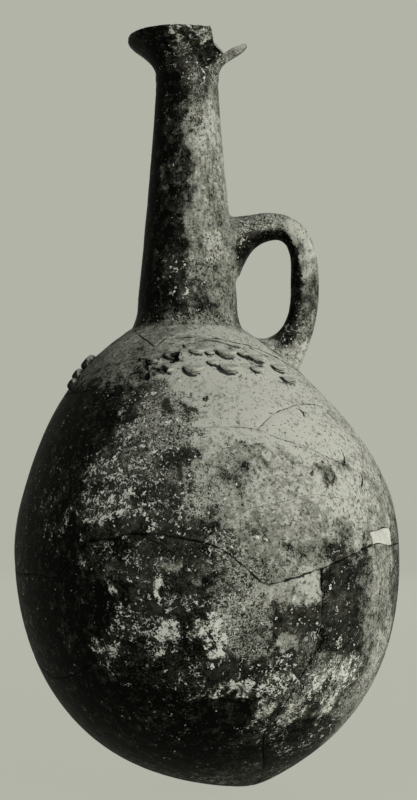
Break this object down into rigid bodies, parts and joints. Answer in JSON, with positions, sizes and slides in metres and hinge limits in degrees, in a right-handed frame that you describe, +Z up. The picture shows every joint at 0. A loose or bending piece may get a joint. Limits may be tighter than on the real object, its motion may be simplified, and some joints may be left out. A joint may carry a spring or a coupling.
{
  "type": "long-necked ceramic jug",
  "caption": "Mended long-necked ceramic jug: round body of fitted sherds, tapering neck, flared mouth with a broken rim, a round handle and relief scales on the shoulder.",
  "frame": {"origin": "bottom centre of the bounding box: under the belly's centre, at the height of the base tip", "axes": "+Z up the neck, +X towards the handle, and the front with the relief faces -Y"},
  "size_m": [0.2676, 0.2676, 0.5231],
  "materials": {
    "dark_burnished_clay": "burnished slip, blackened, with lime crust",
    "mid_worn_clay": "worn slip, matte to satin",
    "pale_worn_clay": "worn pale clay with remains of slip, matte to satin",
    "plaster_fill": "matte plaster"
  },
  "bodies": {
    "root": {"shoulder_sherd_handle": "mid_worn_clay", "shoulder_sherd_left": "mid_worn_clay", "shoulder_sherd_front": "pale_worn_clay", "shoulder_sherd_right": "pale_worn_clay", "shoulder_sherd_back": "mid_worn_clay", "belly_sherd_front": "mid_worn_clay", "belly_sherd_arch": "pale_worn_clay", "belly_sherd_right": "pale_worn_clay", "belly_sherd_left": "dark_burnished_clay", "belly_sherd_back": "mid_worn_clay", "lower_sherd_front": "dark_burnished_clay", "lower_sherd_burnished": "dark_burnished_clay", "lower_sherd_right": "pale_worn_clay", "lower_sherd_back": "dark_burnished_clay", "base_sherd_wedge": "mid_worn_clay", "base_sherd_left": "dark_burnished_clay", "base_sherd_right": "mid_worn_clay", "base_sherd_back": "dark_burnished_clay", "belly_plaster_fill": "plaster_fill", "neck": "dark_burnished_clay", "mouth": "dark_burnished_clay", "handle": "mid_worn_clay", "handle_wad": "mid_worn_clay", "relief_scale_upper_1": "mid_worn_clay", "relief_scale_lower_1": "mid_worn_clay", "relief_scale_upper_2": "mid_worn_clay", "relief_scale_lower_2": "pale_worn_clay", "relief_scale_upper_3": "pale_worn_clay", "relief_scale_lower_3": "pale_worn_clay", "relief_scale_upper_4": "pale_worn_clay", "relief_scale_lower_4": "pale_worn_clay", "relief_scale_upper_5": "pale_worn_clay", "relief_scale_lower_5": "pale_worn_clay", "relief_scale_upper_6": "pale_worn_clay", "relief_scale_lower_6": "pale_worn_clay", "relief_scale_upper_7": "pale_worn_clay", "relief_scale_lower_7": "pale_worn_clay", "relief_knob_left_1": "mid_worn_clay", "relief_knob_left_2": "mid_worn_clay", "relief_knob_left_3": "mid_worn_clay"}
  },
  "joints": []
}
